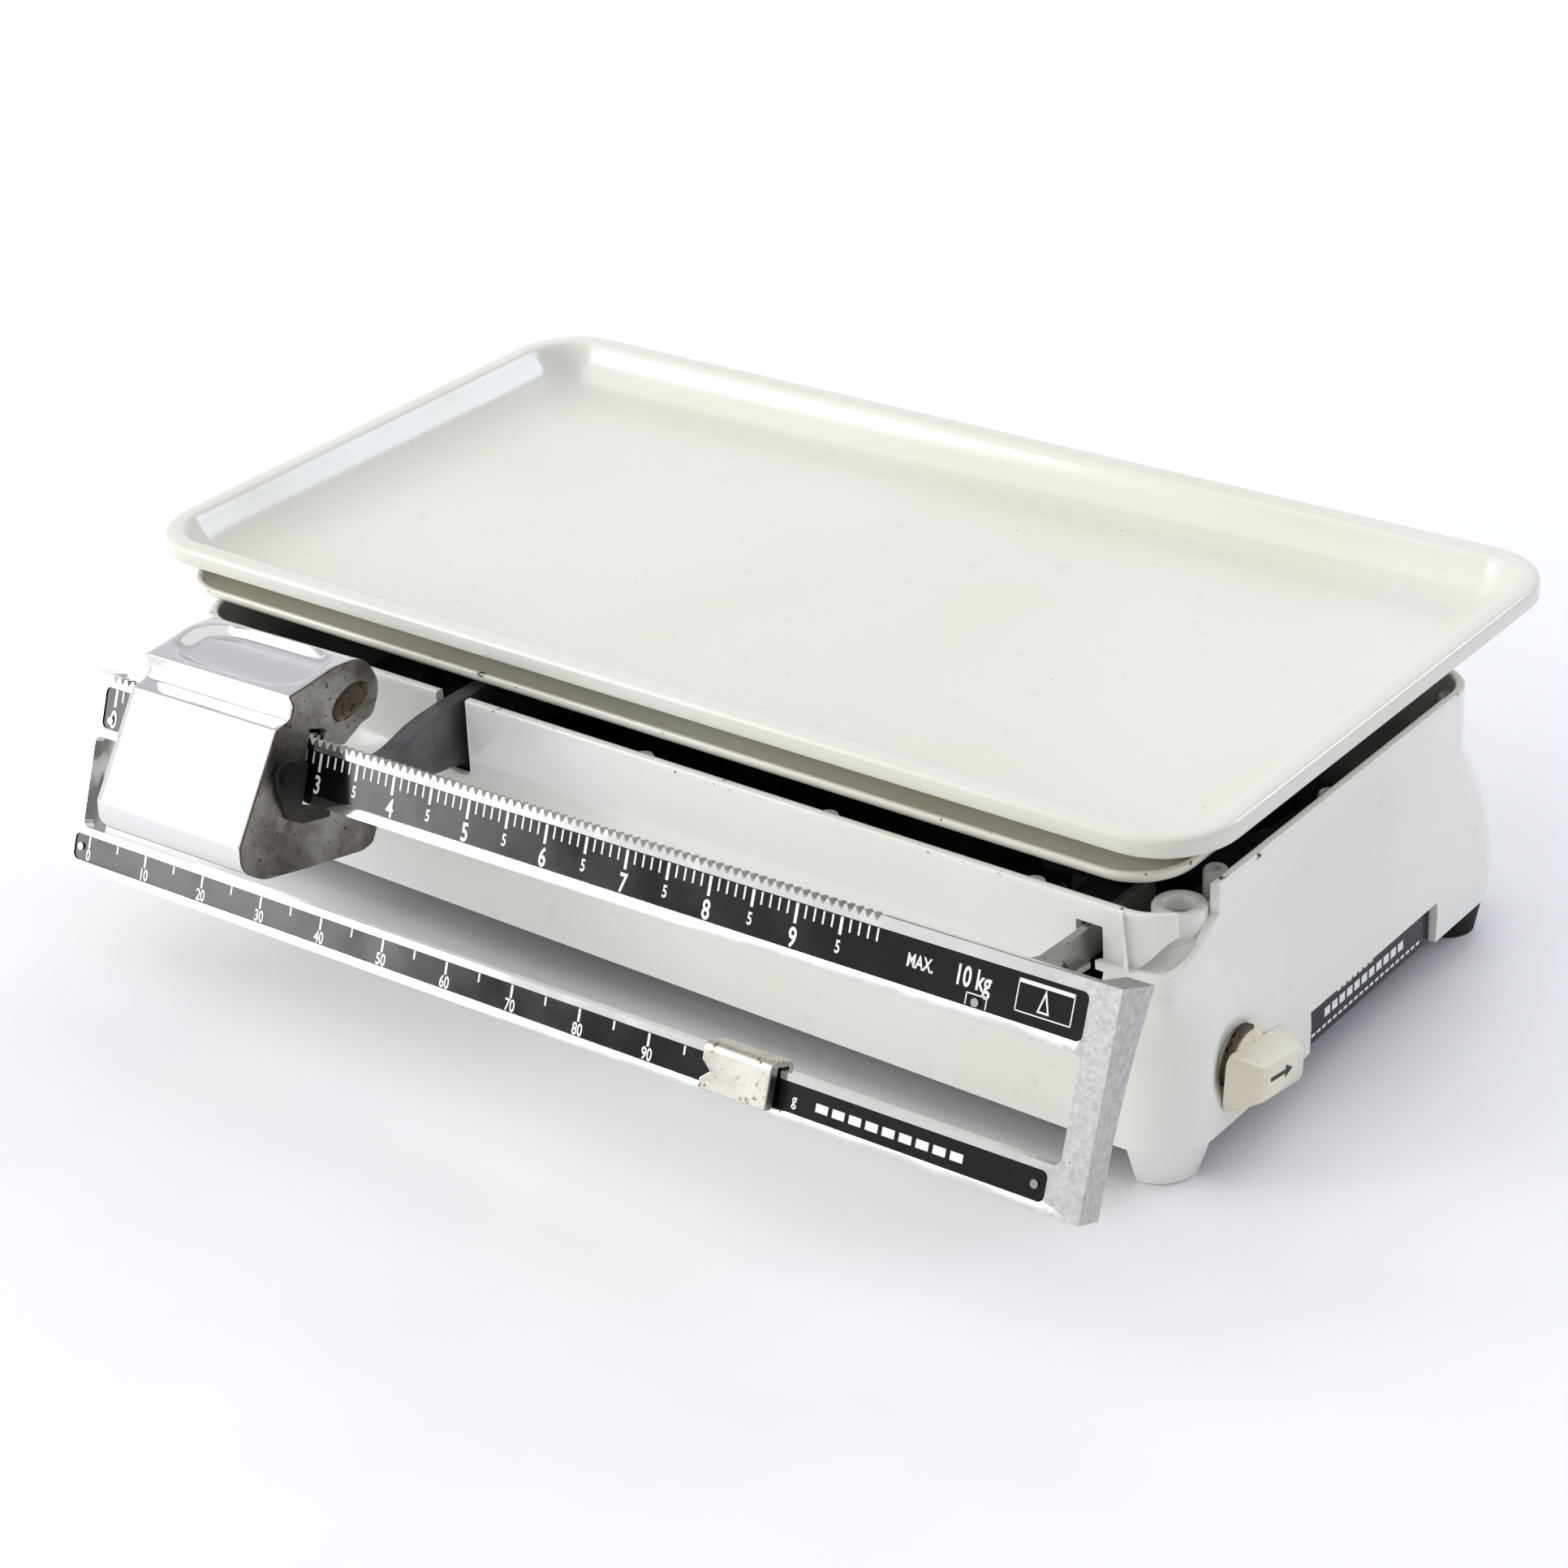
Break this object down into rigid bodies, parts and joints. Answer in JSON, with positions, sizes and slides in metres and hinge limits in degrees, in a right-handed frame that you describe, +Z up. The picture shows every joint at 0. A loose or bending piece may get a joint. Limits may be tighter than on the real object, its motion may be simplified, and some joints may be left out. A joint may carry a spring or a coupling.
{
  "type": "sliding_weight_kitchen_scale",
  "caption": "Low white kitchen scale with a rectangular lift-off tray; a sloping chromed beam in front carries a sliding poise and a small rider for balancing the load.",
  "frame": {"origin": "centre of the bounding box footprint, on the table under the feet", "axes": "+X to the right along the beam, -Y towards the reader who faces the beam, +Z up"},
  "size_m": [0.354, 0.2519, 0.0916],
  "materials": {
    "white_lacquer": "glossy white lacquer with small chips",
    "cream_enamel": "glossy cream enamel",
    "chromed_casting": "polished chrome with fine pits",
    "black_enamel": "glossy black with white marks",
    "nickel_plate": "worn nickel",
    "dark_casting": "dull grey casting",
    "zinc_plate": "speckled zinc",
    "bright_steel": "ground steel",
    "dark_steel": "dark satin coat",
    "ivory_plastic": "slightly yellowed ivory plastic",
    "navy_plate": null,
    "black_rubber": "matte rubber"
  },
  "bodies": {
    "base": {"housing": "white_lacquer", "rear_feet": "black_rubber", "base_plate": "dark_steel", "plate_screws": "bright_steel", "lever_stands": "dark_steel", "lever_seats": "bright_steel", "beam_stand": "dark_steel", "beam_seats": "bright_steel", "stand_screws": "bright_steel", "label_plate": "navy_plate", "lock_cup": "white_lacquer"},
    "beam": {"beam_frame": "chromed_casting", "upper_scale": "black_enamel", "lower_scale": "black_enamel", "left_arm": "dark_casting", "right_arm": "zinc_plate", "load_bar": "dark_casting", "beam_knives": "bright_steel", "arm_rivets": "bright_steel", "plate_rivets": "bright_steel"},
    "poise": {"poise_body": "chromed_casting", "pawl_plate": "dark_steel", "pawl_rivet": "dark_steel", "poise_pawl": "bright_steel"},
    "rider": {"rider": "nickel_plate", "rider_spring": "bright_steel"},
    "carrier": {"carrier_pan": "white_lacquer", "carrier_posts": "dark_casting", "post_bearings": "bright_steel", "seat_pads": "black_rubber"},
    "tray": {"tray": "cream_enamel"},
    "long_lever": {"long_lever": "dark_casting", "long_knives": "bright_steel"},
    "short_lever": {"short_lever": "dark_casting", "short_knives": "bright_steel"},
    "lever_link": {"lever_link": "bright_steel"},
    "shackle": {"shackle": "bright_steel"},
    "lock": {"lock_knob": "ivory_plastic", "lock_shaft": "bright_steel", "lock_finger": "dark_steel", "lock_roller": "bright_steel"},
    "tare": {"tare_screw": "zinc_plate", "tare_nut": "bright_steel"}
  },
  "joints": [
    {"name": "beam_hinge", "type": "hinge", "parent": "base", "child": "beam", "pos_m": [-0.0585, -0.03, 0.046], "axis": [0, 1, 0], "range_deg": [0, 2.4]},
    {"name": "poise_slide", "type": "slide", "parent": "beam", "child": "poise", "axis": [0.9997, 0, 0.0251], "range_m": [-0.017, 0.2305]},
    {"name": "rider_slide", "type": "slide", "parent": "beam", "child": "rider", "axis": [0.9997, 0, 0.0251], "range_m": [-0.213, 0.07]},
    {"name": "shackle_slide", "type": "slide", "parent": "base", "child": "shackle", "axis": [0, 0, 1], "range_m": [0, 0.00126]},
    {"name": "long_lever_hinge", "type": "hinge", "parent": "base", "child": "long_lever", "pos_m": [0.124, 0.037, 0.027], "axis": [0, 1, 0], "range_deg": [0, 0.34]},
    {"name": "short_lever_hinge", "type": "hinge", "parent": "base", "child": "short_lever", "pos_m": [-0.14, 0.037, 0.027], "axis": [0, 1, 0], "range_deg": [-0.34, 0]},
    {"name": "link_slide", "type": "slide", "parent": "base", "child": "lever_link", "axis": [0, 0, 1], "range_m": [0, 0.00079]},
    {"name": "carrier_slide", "type": "slide", "parent": "base", "child": "carrier", "axis": [0, 0, 1], "range_m": [0, 0.000178]},
    {"name": "tray_lift", "type": "slide", "parent": "carrier", "child": "tray", "axis": [0, 0, 1], "range_m": [0, 0.06]},
    {"name": "lock_turn", "type": "hinge", "parent": "base", "child": "lock", "pos_m": [0.155, -0.031, 0.025], "axis": [1, 0, 0], "range_deg": [0, 90]},
    {"name": "tare_turn", "type": "hinge", "parent": "base", "child": "tare", "pos_m": [0.15, -0.0365, 0.055], "axis": [0, 0, 1], "range_deg": [-180, 180]}
  ],
  "couplings": [
    {"joint": "shackle_slide", "follows": "beam_hinge", "m_per_rad": 0.03},
    {"joint": "long_lever_hinge", "follows": "beam_hinge", "ratio": 0.14118},
    {"joint": "short_lever_hinge", "follows": "beam_hinge", "ratio": -0.14118},
    {"joint": "link_slide", "follows": "beam_hinge", "m_per_rad": 0.018635},
    {"joint": "carrier_slide", "follows": "beam_hinge", "m_per_rad": 0.0042353}
  ]
}
